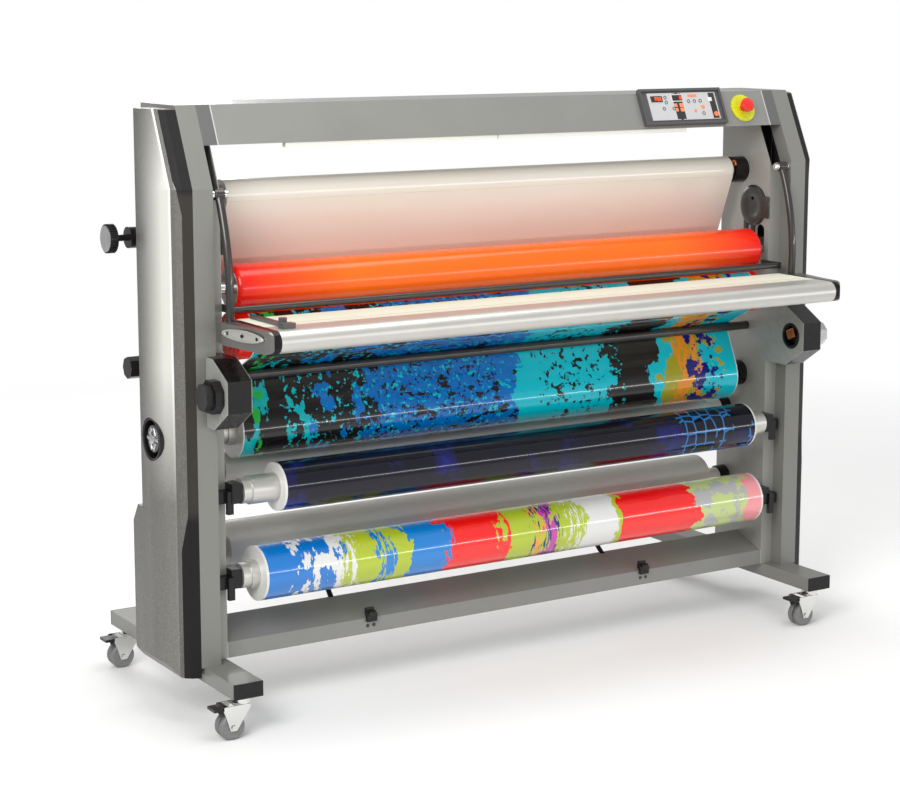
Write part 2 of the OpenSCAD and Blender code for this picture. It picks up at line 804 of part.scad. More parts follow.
// Blocks bolted to the side frames that carry the shaft ends, the lower roller and the spindles
module journal_blocks() {
  half = 24;
  color("black") machine() {
    for (s = sides) {
      for (c = blocks_on_plate) difference() {
        rod_side(s, c[0] + plate_block_d / 2 < plate_back ? plate_block_d : rear_block_d,
                 c == top_film ? top_block_x : block_x, plate_x, c[0], c[1]);
        rod_side(s, stub_d + 2 * pin_clear, top_block_x - 1, plate_x - 6, c[0], c[1]);
      }
      for (c = blocks_on_flange) {
        difference() {
          box_side(s, block_x, plate_x, c[0] - half, max(upright_d, c[0] + half), c[1] - half, c[1] + half);
          rod_side(s, stub_d + 2 * pin_clear, block_x - 1, plate_x - 6, c[0], c[1]);
        }
        box_side(s, plate_x, upright_x0 - 8, 18, upright_d, c[1] - half, c[1] + 6);
        box_side(s, plate_x - 5, plate_x + 11, 6, 18, c[1] - 50, c[1] + 6);
      }
      difference() {
        box_side(s, plate_x + plate_t, block_x0 + block_t, nip_y - block_w / 2, lower_block_back,
                 lower_z - lower_block_h / 2, lower_z + lower_block_h / 2);
        rod_side(s, journal_d + 2 * journal_clear, plate_x, block_x0 + block_t + 1, nip_y, lower_z);
      }
    }
    side_boss(wheel_y, wheel_z, wheel_shaft_d, 40);
    side_boss(rear_knob_y, rear_knob_upper_z, spindle_d, 44);
    side_boss(rear_knob_y, rear_knob_lower_z, spindle_d, 44);
  }
}

// A round boss on the outside of the left side plate with a hole for a spindle
module side_boss(y, z, hole_d, boss_d) {
  difference() {
    rod_side(-1, boss_d, plate_x + plate_t, plate_x + plate_t + side_boss_t, y, z);
    rod_side(-1, hole_d + 2 * pin_clear, plate_x + plate_t + 1, plate_x + plate_t + side_boss_t + 1, y, z);
  }
}

// ---- drive ----
module drive_motor() {
  x0 = sprocket_x + sprocket_w + 6;
  legs = motor_d / 2 - 8;
  color("dimgray") machine() {
    difference() {
      rod_x(motor_d, x0, cover_face - 12, motor_y, motor_z);
      rod_x(pin_d + 2 * pin_clear, x0 - 1, x0 + 20, motor_y, motor_z);
    }
    for (a = [0, 180, 270])
      rod_x(10, plate_x + plate_t, x0, motor_y + legs * cos(a), motor_z + legs * sin(a));
  }
}

module motor_sprocket() {
  x0 = sprocket_x + sprocket_w + 6;
  color("silver") machine() {
    rod_x(2 * motor_sprocket_r, sprocket_x, sprocket_x + sprocket_w, motor_y, motor_z);
    rod_x(pin_d, sprocket_x + sprocket_w, x0 + 18, motor_y, motor_z);
  }
}

function chain_loop(grow) =
  let (a = [motor_y, motor_z, motor_sprocket_r + grow, 1],
       b = [nip_y, lower_z, roller_sprocket_r + grow, 1],
       up = tangent(a, b),
       down = tangent(b, a))
  concat(wrap(b, up[1], down[0], 24), wrap(a, down[1], up[0], 24));

module drive_chain() {
  color("darkslategray") machine() difference() {
    along_x(sprocket_x, sprocket_x + sprocket_w) polygon(chain_loop(chain_clear + chain_t));
    along_x(sprocket_x - 1, sprocket_x + sprocket_w + 1) polygon(chain_loop(chain_clear));
  }
}

// ---- film shafts, rolls and webs ----
module film_shaft(spec) {
  wall = 4;
  difference() {
    rod_x(shaft_d, -shoulder_x + hub_t, shoulder_x - hub_t, spec[0], spec[1]);
    rod_x(shaft_d - 2 * wall, -shoulder_x + hub_t + wall, shoulder_x - hub_t - wall, spec[0], spec[1]);
  }
  for (s = sides) {
    rod_side(s, hub_d, shoulder_x - hub_t, shoulder_x, spec[0], spec[1]);
    rod_side(s, stub_d, shoulder_x, plate_x - 8, spec[0], spec[1]);
  }
}

module film_roll(spec, bore) {
  difference() {
    rod_x(2 * spec[2], spec[3], spec[4], spec[0], spec[1]);
    rod_x(bore, spec[3] - 1, spec[4] + 1, spec[0], spec[1]);
  }
}

slim_shaft_d = 50;

// A thinner shaft for the small top roll and the two rear rolls
module slim_shaft(spec) {
  rod_x(slim_shaft_d, -shoulder_x, shoulder_x, spec[0], spec[1]);
  for (s = sides) rod_side(s, stub_d, shoulder_x, plate_x - 8, spec[0], spec[1]);
}

module top_film_shaft() {
  color("darkgray") machine() {
    difference() {
      rod_x(slim_shaft_d, -top_shoulder_x, top_shoulder_x, top_film[0], top_film[1]);
      rod_x(slim_shaft_d - 8, -top_shoulder_x + 6, top_shoulder_x - 6, top_film[0], top_film[1]);
    }
    for (s = sides) rod_side(s, stub_d, top_shoulder_x, plate_x - 8, top_film[0], top_film[1]);
  }
}

module top_film_roll() {
  color("white") machine() film_roll(top_film, slim_shaft_d);
}

module supply_shaft() {
  color("lightgray") machine() film_shaft(supply);
}

module supply_roll() {
  color("dodgerblue") machine() film_roll(supply, shaft_d);
}

module middle_shaft() {
  color("lightgray") machine() film_shaft(middle);
}

module middle_roll() {
  color("midnightblue") machine() film_roll(middle, shaft_d);
}

module take_up_shaft() {
  color("lightgray") machine() film_shaft(take_up);
}

module take_up_roll() {
  color("yellowgreen") machine() film_roll(take_up, shaft_d);
}

module rear_upper_roll() {
  color("whitesmoke") machine() {
    slim_shaft(rear_upper);
    film_roll(rear_upper, slim_shaft_d);
  }
}

module rear_lower_roll() {
  color("whitesmoke") machine() {
    slim_shaft(rear_lower);
    film_roll(rear_lower, slim_shaft_d);
  }
}

// The print runs from the supply roll behind the front bar and round the front of the lower roller
function supply_path(t) =
  let (roll = widened([supply[0], supply[1], supply[2] + web_clear, -1], t),
       bar = widened([front_bar[0], front_bar[1], bar_d / 2 + web_clear + web_t, 1], t),
       lower = widened([nip_y, lower_z, lower_r + web_clear, -1], t),
       first = tangent(roll, bar),
       second = tangent(bar, lower),
       end_a = 112,
       finish = [lower[0] + lower[2] * cos(end_a), lower[1] + lower[2] * sin(end_a)])
  concat([first[0]], wrap(bar, first[1], second[0], 12), wrap(lower, second[1], finish, 24));

module supply_web() {
  color("dodgerblue") machine() along_x(supply[3], supply[4])
    polygon(concat(supply_path(0), reversed(supply_path(web_t))));
}

// The film runs from the top roll down behind the upper roller to the rear bar
function film_path(t) =
  let (roll = widened([top_film[0], top_film[1], top_film[2] + web_clear + web_t, 1], t),
       bar = widened([rear_bar[0], rear_bar[1], bar_d / 2 + web_clear + web_t, 1], t),
       first = tangent(roll, bar),
       end_a = 260,
       finish = [bar[0] + bar[2] * cos(end_a), bar[1] + bar[2] * sin(end_a)])
  concat([first[0]], wrap(bar, first[1], finish, 12));

module top_film_web() {
  color("white") machine() along_x(top_film[3], top_film[4])
    polygon(concat(film_path(0), reversed(film_path(web_t))));
}

module tension_bars() {
  color("black") machine() for (c = [front_bar, rear_bar])
    rod_x(bar_d, -plate_x, plate_x, c[0], c[1]);
}

// ---- winder pods ----
module winder_pods() {
  outline = [
    [-112, pod_z - 36], [-112, pod_z + 40], [-34, pod_z + 84], [0, pod_z + 84],
    [0, pod_z - 84], [-40, pod_z - 84]
  ];
  color("black") machine() for (s = sides) difference() {
    union() {
      along_side(s, plate_x, pod_x1) polygon(outline);
      box_side(s, plate_x, upright_x0, 0, upright_d, pod_z - 84, pod_z + 84);
    }
    rod_side(s, 2 * pod_socket_r, plate_x - 1, plate_x + pod_socket_depth, pod_y, pod_z);
    rod_side(s, spindle_d + 2 * pin_clear, plate_x + pod_socket_depth, pod_x1 + 1, pod_y, pod_z);
  }
}

// An eight-sided knob that tapers outwards, on a spindle in its pod
module pod_knob(s) {
  gap = 1;
  rod_side(s, spindle_d, plate_x + pod_socket_depth + 6, pod_x1 + gap + 1, pod_y, pod_z);
  translate([s * (pod_x1 + gap), pod_y, pod_z]) rotate([0, s * 90, 0]) rotate([0, 0, 22.5]) {
    cylinder(d = 84, h = 22, $fn = 8);
    translate([0, 0, 22]) cylinder(d = 66, h = pod_knob_x1 - pod_x1 - gap - 22, $fn = 8);
  }
}

module pod_knob_left() {
  color("silver") machine() pod_knob(-1);
}

module pod_knob_right() {
  color("silver") machine() pod_knob(1);
}

// ---- rear knobs ----
module rear_knob_upper() {
  color("silver") machine() {
    rod_side(-1, spindle_d, plate_x + plate_t + 3, rear_knob_tip - 20, rear_knob_y, rear_knob_upper_z);
    rod_side(-1, 52, rear_knob_tip - 82, rear_knob_tip - 56, rear_knob_y, rear_knob_upper_z);
    rod_side(-1, 66, rear_knob_tip - 20, rear_knob_tip, rear_knob_y, rear_knob_upper_z);
  }
}

module rear_knob_lower() {
  tip = rear_knob_tip - 47;
  color("black") machine() {
    rod_side(-1, spindle_d, plate_x + plate_t + 3, tip - 40, rear_knob_y, rear_knob_lower_z);
    translate([-(tip - 40), rear_knob_y, rear_knob_lower_z]) rotate([0, -90, 0])
      cylinder(d = 54, h = 40, $fn = 8);
  }
}

// ---- casters ----
// A caster stands under its foot with the wheels trailing towards -X
module caster_at(side, y) {
  machine() translate([side * foot_x, y, 0]) children();
}

module rod_y(d, half, x, z) {
  translate([x, 0, z]) rotate([90, 0, 0]) cylinder(d = d, h = 2 * half, center = true);
}

// Two cheeks under the swivel housing carry the wheels' axle and the pedal's pin
module caster_fork(side, y) {
  plate_z = crown_z + housing_h;
  outer = cheek_y + cheek_t;
  color("silver") caster_at(side, y) {
    translate([0, 0, plate_z]) cylinder(d = 40, h = 4);
    translate([0, 0, plate_z + 4]) cylinder(d = stem_d, h = swivel_gap + tube_wall + 8);
    translate([0, 0, crown_z]) cylinder(d = housing_d, h = housing_h);
    translate([-26, -outer, crown_z - 3]) cube([38, 2 * outer, 3 + eps]);
    for (s = sides) scale([1, s, 1]) translate([0, outer, 0]) rotate([90, 0, 0]) linear_extrude(cheek_t)
      polygon([
        [-caster_trail - 8, axle_z - 8], [-caster_trail + 8, axle_z - 8], [12, crown_z - 8],
        [12, crown_z + eps], [pedal_pin[0] - 12, crown_z + eps], [pedal_pin[0] - 12, crown_z - 12]
      ]);
    rod_y(axle_d, outer + 1, -caster_trail, axle_z);
    rod_y(pedal_pin_d, outer, pedal_pin[0], pedal_pin[1]);
    for (s = sides) translate([-caster_trail, s * (outer + 2), axle_z]) rotate([90, 0, 0])
      cylinder(d = 14, h = 4, center = true, $fn = 6);
  }
}

// Two wheels on one hub that turns on the axle
module caster_wheels(side, y) {
  half = wheel_gap / 2;
  color("gray") caster_at(side, y) translate([-caster_trail, 0, axle_z]) rotate([90, 0, 0]) difference() {
    union() {
      for (z = [-half - wheel_w, half]) translate([0, 0, z]) rotate_extrude() polygon([
        [0, 0], [wheel_d / 2 - 4, 0], [wheel_d / 2, 4], [wheel_d / 2, wheel_w - 4],
        [wheel_d / 2 - 4, wheel_w], [0, wheel_w]
      ]);
      cylinder(d = 24, h = wheel_gap + 2, center = true);
    }
    cylinder(d = axle_d + 2 * pin_clear, h = 4 * wheel_w, center = true);
  }
}

// A brake pedal whose barrel turns on the fork's pin
module caster_pedal(side, y) {
  half = cheek_y - 1.5;
  color("black") caster_at(side, y) difference() {
    union() {
      rod_y(12, half, pedal_pin[0], pedal_pin[1]);
      translate([pedal_pin[0] - 36, -half, pedal_pin[1] - 2]) cube([36, 2 * half, 7]);
    }
    rod_y(pedal_pin_d + 2 * pin_clear, 2 * half, pedal_pin[0], pedal_pin[1]);
  }
}

uprights();
side_plates();
top_beam();
lower_cross_beam();
feet();
foot_end_caps();
outer_covers();
cover_trims();
control_bezel();
control_membranes();
power_button();
estop_plate();
estop_button();
light_bars();
table_nose();
table_deck();
table_ends();
table_arms();
table_pivots();
cutter_carriage();
guard_bar();
upper_roller_sleeve();
upper_roller_core();
lower_roller();
nip_blocks();
nip_handwheel();
journal_blocks();
drive_motor();
motor_sprocket();
drive_chain();
top_film_shaft();
top_film_roll();
top_film_web();
supply_shaft();
supply_roll();
supply_web();
middle_shaft();
middle_roll();
take_up_shaft();
take_up_roll();
rear_upper_roll();
rear_lower_roll();
winder_pods();
pod_knob_left();
pod_knob_right();
tension_bars();
rear_knob_upper();
rear_knob_lower();
caster_fork(-1, caster_ys[0]);  // caster_fork_front_left
caster_wheels(-1, caster_ys[0]);  // caster_wheels_front_left
caster_pedal(-1, caster_ys[0]);  // caster_pedal_front_left
caster_fork(1, caster_ys[0]);  // caster_fork_front_right
caster_wheels(1, caster_ys[0]);  // caster_wheels_front_right
caster_pedal(1, caster_ys[0]);  // caster_pedal_front_right
caster_fork(-1, caster_ys[1]);  // caster_fork_rear_left
caster_wheels(-1, caster_ys[1]);  // caster_wheels_rear_left
caster_pedal(-1, caster_ys[1]);  // caster_pedal_rear_left
caster_fork(1, caster_ys[1]);  // caster_fork_rear_right
caster_wheels(1, caster_ys[1]);  // caster_wheels_rear_right
caster_pedal(1, caster_ys[1]);  // caster_pedal_rear_right
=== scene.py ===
# %% [markdown]
# # A cold roll laminator on a castered stand
# The machine stands as a fixed frame that was drawn elsewhere as solids. Here each solid gets its
# finish, and the small fittings that make the machine real are modelled by hand round it.
# Lengths in the code are millimetres on the machine: X from its middle, Y back from the front of the
# uprights and Z up from the floor. One helper turns them into the scene's metres.

# %% Load the frame and find the machine's middle
import json
import math

import bpy
from mathutils import Matrix, Vector


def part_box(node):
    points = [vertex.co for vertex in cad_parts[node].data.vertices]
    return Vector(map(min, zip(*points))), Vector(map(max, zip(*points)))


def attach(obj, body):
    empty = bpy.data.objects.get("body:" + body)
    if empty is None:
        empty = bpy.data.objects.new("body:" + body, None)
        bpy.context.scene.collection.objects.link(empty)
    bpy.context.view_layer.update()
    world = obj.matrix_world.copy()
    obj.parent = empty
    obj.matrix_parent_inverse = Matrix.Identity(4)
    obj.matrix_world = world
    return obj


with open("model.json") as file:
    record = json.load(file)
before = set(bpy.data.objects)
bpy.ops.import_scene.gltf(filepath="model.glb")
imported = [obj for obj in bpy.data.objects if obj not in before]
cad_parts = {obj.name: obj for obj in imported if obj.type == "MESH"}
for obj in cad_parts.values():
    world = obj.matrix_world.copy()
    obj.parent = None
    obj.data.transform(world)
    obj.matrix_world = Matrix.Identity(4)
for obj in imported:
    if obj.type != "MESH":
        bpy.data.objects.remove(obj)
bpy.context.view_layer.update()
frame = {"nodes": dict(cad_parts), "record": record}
nodes = frame["nodes"]
low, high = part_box("uprights")
MIDDLE = (low.x + high.x) / 2
FRONT = low.y
MM = 0.001
PLATE_X = 841          # inner face of a side plate
BEND_Z = 1289          # height at which the uprights bend back
HEAD_DROP = 191        # height of the slanted head
HEAD_LEAN = 90         # how far it leans back
BEZEL = (547, 1440)    # X and Z of the control bezel's middle
PANEL_OUT = 10.6       # face of the key panels, out from the header
PIVOT = (15, 1274)     # Y and Z of the arms' pivot
SOCKET = (-60, 811)    # Y and Z of the pods' sockets
HANDWHEEL = (110, 690)
REAR_KNOB = (226, 1162)


def at(x, y, z):
    """A point given in millimetres on the machine, in the scene's metres."""
    return Vector((MIDDLE + x * MM, FRONT + y * MM, z * MM))


print("middle", round(MIDDLE, 4), "front", round(FRONT, 4))

# %% [markdown]
# ## Shader maths that reads like maths
# A material is a small graph of nodes. `Value` wraps one output socket and overloads the
# operators, so that a mask can be written as an expression and each operator adds its Math node.
# `Finish` is one material with one method that makes any other node.

# %% The socket wrapper and the material class


class Value:
    def __init__(self, finish, socket):
        self.finish = finish
        self.socket = socket

    def maths(self, operation, *others, first=None):
        inputs = [self, *others] if first is None else [first, self, *others]
        return self.finish.node("ShaderNodeMath", {"operation": operation}, inputs)

    def __add__(self, other):
        return self.maths("ADD", other)

    __radd__ = __add__

    def __mul__(self, other):
        return self.maths("MULTIPLY", other)

    __rmul__ = __mul__

    def __sub__(self, other):
        return self.maths("SUBTRACT", other)

    def __rsub__(self, other):
        return self.maths("SUBTRACT", first=other)

    def __truediv__(self, other):
        return self.maths("DIVIDE", other)

    def __gt__(self, other):
        return self.maths("GREATER_THAN", other)

    def __lt__(self, other):
        return self.maths("LESS_THAN", other)

    def __abs__(self):
        return self.maths("ABSOLUTE")

    def clamp(self):
        return self.finish.node("ShaderNodeClamp", {}, [self])


class Finish:
    """One procedural material. Constants go straight onto the shader's own sockets."""

    def __init__(self, name, color, roughness=0.5, metallic=0.0, coat=0.0, coat_roughness=0.05):
        self.material = bpy.data.materials.new(name)
        self.material.use_nodes = True
        self.tree = self.material.node_tree
        self.shader = self.tree.nodes["Principled BSDF"]
        self.set("Base Color", color)
        self.set("Roughness", roughness)
        self.set("Metallic", metallic)
        self.set("Coat Weight", coat)
        self.set("Coat Roughness", coat_roughness)
        place = self.tree.nodes.new("ShaderNodeTexCoord")
        self.place = Value(self, place.outputs["Object"])
        self.x, self.y, self.z = None, None, None

    def set(self, socket, value):
        self.feed(self.shader.inputs[socket], value)

    def feed(self, socket, value):
        if isinstance(value, Value):
            self.tree.links.new(value.socket, socket)
        elif socket.type == "RGBA" and len(value) == 3:
            socket.default_value = (*value, 1.0)
        else:
            socket.default_value = value

    def node(self, kind, settings, inputs, output=0):
        """Adds a node, sets it up, then feeds its sockets in order or by name."""
        made = self.tree.nodes.new(kind)
        for name, value in settings.items():
            if name == "stops":
                while len(made.color_ramp.elements) < len(value):
                    made.color_ramp.elements.new(0.5)
                for stop, (spot, colour) in zip(made.color_ramp.elements, value):
                    stop.position = spot
                    stop.color = (*colour, 1.0)
            elif name == "interpolation":
                made.color_ramp.interpolation = value
            else:
                setattr(made, name, value)
        pairs = inputs.items() if isinstance(inputs, dict) else enumerate(inputs)
        for key, value in pairs:
            if value is not None:
                self.feed(made.inputs[key], value)
        return Value(self, made.outputs[output])

    def axes(self):
        """The place on the machine along X, Y and Z, in metres."""
        if self.x is None:
            self.x = self.node("ShaderNodeSeparateXYZ", {}, [self.place], 0)
            self.y = self.node("ShaderNodeSeparateXYZ", {}, [self.place], 1)
            self.z = self.node("ShaderNodeSeparateXYZ", {}, [self.place], 2)
        return self.x - MIDDLE, self.y - FRONT, self.z

    def stretched(self, scale, shift=(0, 0, 0)):
        return self.node("ShaderNodeMapping", {}, {"Vector": self.place, "Scale": scale, "Location": shift})

    def noise(self, size, detail=3.0, roughness=0.5, place=None, distortion=0.0, output=0):
        """Cloudy noise from 0 to 1 whose patches are about that size, in millimetres."""
        return self.node("ShaderNodeTexNoise", {}, {
            "Vector": place or self.place, "Scale": 1.0 / (size * MM), "Detail": detail,
            "Roughness": roughness, "Distortion": distortion}, output)

    def spots(self, size, feature="F1", place=None):
        return self.node("ShaderNodeTexVoronoi", {"feature": feature}, {
            "Vector": place or self.place, "Scale": 1.0 / (size * MM)})

    def ramp(self, value, stops, interpolation="LINEAR"):
        return self.node("ShaderNodeValToRGB", {"stops": stops, "interpolation": interpolation}, [value])

    def mix(self, mask, under, over):
        """Shows over where the mask is 1 and under where it is 0."""
        return self.node("ShaderNodeMix", {"data_type": "RGBA"}, {0: mask, 6: under, 7: over}, 2)

    def bump(self, height, depth):
        """Raises the surface by height, where a height of 1 is depth in millimetres."""
        relief = self.node("ShaderNodeBump", {}, {"Height": height, "Distance": depth * MM, "Strength": 1.0})
        self.set("Normal", relief)


def shade(color, factor):
    return tuple(min(1.0, c * factor) for c in color)


# %% [markdown]
# ## Paint, plastic and metal
# Powder coat is never one flat colour: it has a fine orange-peel grain, faint clouds and a gloss that
# drifts a little. Three noise sizes do that. Metals get fine streaks along one axis.

# %% Coated and moulded surfaces


def coated(name, color, roughness=0.45, grain=1.2, depth=0.05, coat=0.0, clouds=0.06, metallic=0.0):
    f = Finish(name, color, roughness, metallic, coat)
    cloud = f.noise(180, 4)
    dust = f.noise(22, 5, 0.6)
    patches = (cloud * 0.6 + dust * 0.4).clamp()
    f.set("Base Color", f.mix(patches, shade(color, 1 - clouds), shade(color, 1 + clouds)))
    f.set("Roughness", roughness - 0.08 + dust * 0.16)
    f.bump(f.noise(grain, 2), depth)
    return f


def brushed(name, color, roughness=0.3, along=(0.02, 1.0, 1.0), depth=0.02, metallic=1.0):
    """Metal with fine lines along the axis whose scale is small."""
    f = Finish(name, color, roughness, metallic)
    lines = f.noise(0.9, 3, 0.7, place=f.stretched(along))
    cloud = f.noise(120, 3)
    f.set("Base Color", f.mix(cloud, shade(color, 0.9), shade(color, 1.08)))
    f.set("Roughness", roughness - 0.07 + lines * 0.14)
    f.bump(lines, depth)
    return f


frame_paint = coated("frame_paint", (0.19, 0.189, 0.173), 0.42, coat=0.15)
plate_paint = coated("plate_paint", (0.29, 0.288, 0.265), 0.36, grain=2.5, coat=0.2)
dark_trim = coated("dark_trim", (0.009, 0.008, 0.008), 0.42, grain=0.8)
black_plastic = coated("black_plastic", (0.008, 0.007, 0.007), 0.32, grain=0.7, depth=0.03, coat=0.12)
grey_plastic = coated("grey_plastic", (0.075, 0.073, 0.075), 0.36, grain=0.7, coat=0.25)
orange_plastic = coated("orange_plastic", (0.85, 0.2, 0.06), 0.25, coat=0.6, depth=0.01)
red_plastic = coated("red_plastic", (0.75, 0.008, 0.004), 0.22, coat=0.8, depth=0.01)
dark_steel = coated("dark_steel", (0.05, 0.046, 0.043), 0.3, metallic=0.5, coat=0.3, grain=3)
chain_steel = coated("chain_steel", (0.05, 0.048, 0.045), 0.4, metallic=0.9)
steel = brushed("steel", (0.6, 0.6, 0.6), 0.28)
aluminium = brushed("aluminium", (0.6, 0.59, 0.55), 0.42, metallic=0.75)
chrome = brushed("chrome", (0.75, 0.75, 0.73), 0.12, depth=0.004)
liner_white = coated("liner_white", (0.62, 0.6, 0.56), 0.38, grain=6, depth=0.02, coat=0.2)
wheel_grey = coated("wheel_grey", (0.17, 0.17, 0.17), 0.5)
copper = brushed("copper", (0.62, 0.2, 0.08), 0.35)
for dark in (dark_trim, black_plastic):
    dark.set("Specular IOR Level", 0.28)
print(len(bpy.data.materials), "materials so far")

# %% [markdown]
# ## The header, the covers and the trims
# The header is one sheet whose ends run behind the side frames' folded flanges, with a bent
# edge between them, so a mask along X paints shade on the ends behind the flanges and a painted highlight on
# that edge.
# The covers are silver metallic mouldings with a fine sparkle whose glints are painted, with painted shade
# towards their rear edge, on a front-facing strip and low down, and a painted highlight along a ridge line.

# %% Header, covers, trims and the emergency stop's plate
header_paint = coated("header_paint", (0.27, 0.27, 0.26), 0.4, grain=2, coat=0.2)
f = header_paint
x, y, z = f.axes()
# Painted shade on the ends behind the flanges, and a painted highlight along the bent edge.
flange_shade = abs(x) > 0.841
bend_highlight = (abs(x) > 0.8395) * (abs(x) < 0.8425)
skin = f.mix(f.noise(150, 3), (0.195, 0.195, 0.182), (0.235, 0.235, 0.22))
f.set("Base Color", f.mix(bend_highlight, f.mix(flange_shade, skin, (0.11, 0.11, 0.105)), (0.5, 0.5, 0.47)))

cover_silver = Finish("cover_silver", (0.6, 0.6, 0.58), 0.4, 0.35, coat=0.1)
f = cover_silver
x, y, z = f.axes()
flake = f.spots(0.9)
sparkle = f.noise(1.6, 2, 0.8)
# Painted shade: the silver darkens towards the rear edge, which faces away from the light.
rear_shade = ((0.185 - y) / 0.13).clamp()
low_part = ((0.86 - z) / 0.32).clamp()
silver = f.mix(rear_shade * rear_shade, (0.10, 0.098, 0.09), (0.74, 0.73, 0.67))
# Painted shade on the front-facing strip beside the trim, then a painted highlight line along the ridge.
front_strip_shade = abs(x) < 0.973
silver = f.mix(front_strip_shade, silver, (0.12, 0.115, 0.105))
silver = f.mix((abs(abs(x) - 0.9745) < 0.0016), silver, (0.9, 0.9, 0.86))
# Painted shadow on the lower part, below the table.
shadow = f.mix(f.noise(60, 4, place=f.stretched((1, 1, 0.12))), (0.045, 0.043, 0.038), (0.13, 0.125, 0.11))
silver = f.mix(low_part * 0.9, silver, shadow)
# Painted glints from the sparkle noise.
glint = ((sparkle - 0.52) * 2.2).clamp()
f.set("Base Color", f.mix(glint, silver, (0.74, 0.74, 0.7)))
f.set("Roughness", 0.28 + sparkle * 0.25)
f.bump(sparkle * 0.6 + flake * 0.4, 0.08)

cover_trim = coated("cover_trim", (0.022, 0.02, 0.019), 0.55, grain=0.8)
f = cover_trim
x, y, z = f.axes()
warm = ((1.29 - z) / 0.02).clamp() * ((z - 0.5) / 0.03).clamp()
f.set("Base Color", f.mix(warm, (0.006, 0.005, 0.005), (0.03, 0.026, 0.022)))
f.set("Specular IOR Level", 0.25)

yellow_plastic = coated("yellow_plastic", (0.6, 0.62, 0.01), 0.35, coat=0.3, grain=1.5)
f = yellow_plastic
ring = f.spots(4)
f.set("Base Color", f.mix((ring < 0.25), (0.62, 0.64, 0.01), (0.3, 0.3, 0.02)))

casting = brushed("casting", (0.5, 0.49, 0.47), 0.32, along=(1, 0.06, 1), metallic=0.85)
f = casting
x, y, z = f.axes()
f.set("Base Color", f.mix(abs(x) < 0.849, (0.26, 0.25, 0.235), (0.02, 0.018, 0.018)))

# %% [markdown]
# ## Table, rollers and glass-clear film
# The table's top is cream laminate with two fine grooves that guide the cutter. The silicone sleeve
# is a glossy orange that turns red towards its ends.

# %% Table deck and silicone
deck_paint = coated("deck_paint", (0.74, 0.75, 0.6), 0.62, clouds=0.03)
f = deck_paint
x, y, z = f.axes()
groove = (abs(y + 0.128) < 0.0013) + (abs(y + 0.150) < 0.0008)
cream = f.mix(f.noise(90, 3), (0.7, 0.71, 0.56), (0.76, 0.76, 0.64))
f.set("Base Color", f.mix(groove.clamp(), cream, (0.22, 0.2, 0.15)))
f.bump(1 - groove.clamp(), 0.8)

silicone_red = Finish("silicone_red", (0.9, 0.09, 0.01), 0.26, coat=0.3, coat_roughness=0.12)
f = silicone_red
f.set("Specular IOR Level", 0.3)
x, y, z = f.axes()
ends = ((abs(x) - 0.5) / 0.28).clamp()
grain = f.noise(14, 5, 0.6, place=f.stretched((0.1, 1, 1)))
warm = f.mix((grain * 0.5 + 0.25).clamp(), (0.95, 0.16, 0.006), (0.9, 0.11, 0.004))
f.set("Base Color", f.mix(ends, warm, (0.8, 0.012, 0.004)))
f.set("Roughness", 0.2 + grain * 0.14)
f.bump(grain, 0.03)

white_film = Finish("white_film", (0.8, 0.76, 0.68), 0.22, coat=0.5, coat_roughness=0.12)
f = white_film
x, y, z = f.axes()
sag = f.noise(140, 2, place=f.stretched((0.3, 1, 1)))
# Painted warm reflection of the red roller on the film's lower part.
red_roller_reflection = ((1.16 - z) / 0.12).clamp()
f.set("Base Color", f.mix(red_roller_reflection * 0.55, f.mix(sag, (0.74, 0.69, 0.6), (0.82, 0.78, 0.7)), (0.85, 0.6, 0.45)))
f.bump(sag, 1.2)

# %% [markdown]
# ## The printed films
# Each roll carries a generic abstract print. A noisy position along the roll is sent through a ramp
# of hard steps for the broad colour fields, so their borders run ragged like brush strokes. Speckles
# and drips are masks of stretched noise laid over them. The last millimetres and the flat ends stay
# white, as the film's bare edge.

# %% Tools for prints


def rim(f, colour, left, right, bare_film=(0.72, 0.71, 0.68)):
    """Leaves the roll's ends white, beyond the print from left to right in metres."""
    x, y, z = f.axes()
    bare = ((x < left) + (x > right)).clamp()
    f.set("Base Color", f.mix(bare, colour, bare_film))


def fields(f, stops, ragged=0.09, size=60, left=-0.77, right=0.78, stretch=(1, 1, 1)):
    """Hard-edged colour fields along the roll, from stops given as place in metres and colour."""
    x, y, z = f.axes()
    span = right - left
    wobble = f.noise(size, 6, 0.62, place=f.stretched(stretch)) - 0.5
    along = (x - left + wobble * (2 * ragged)) / span
    return f.ramp(along, [((spot - left) / span, colour) for spot, colour in stops], "CONSTANT")


def splash(f, size, amount, x_from, x_to, soft=0.12, detail=6, stretch=(1, 1, 1), shift=(0, 0, 0)):
    """A mask of blots between two places along the roll, with their share of the area about amount."""
    x, y, z = f.axes()
    blots = f.noise(size, detail, 0.6, place=f.stretched(stretch, shift))
    window = ((x - x_from) / soft).clamp() * ((x_to - x) / soft).clamp()
    return blots * window > (0.72 - amount * 0.45)


def painted(f, art, strokes):
    """Lays strokes over the art: size, amount, from and to in metres, colour, then how they run."""
    for size, amount, start, stop, colour, run in strokes:
        art = f.mix(splash(f, size, amount, start, stop, **run), art, colour)
    return art


BLACK = (0.012, 0.01, 0.01)
CYAN = (0.0, 0.56, 0.68)
TEAL = (0.0, 0.46, 0.5)
BLUE = (0.0, 0.17, 0.56)
SKY = (0.0, 0.2, 0.6)
GREEN = (0.02, 0.5, 0.06)
ORANGE = (0.9, 0.3, 0.02)
OLIVE = (0.42, 0.38, 0.03)
NAVY = (0.005, 0.008, 0.2)

# %% [markdown]
# ### The supply roll
# Its web wears the same finish, because it is the same film on its way up to the rollers. Strokes are
# rows of a table, so that one can be moved or recoloured without reading the shader.

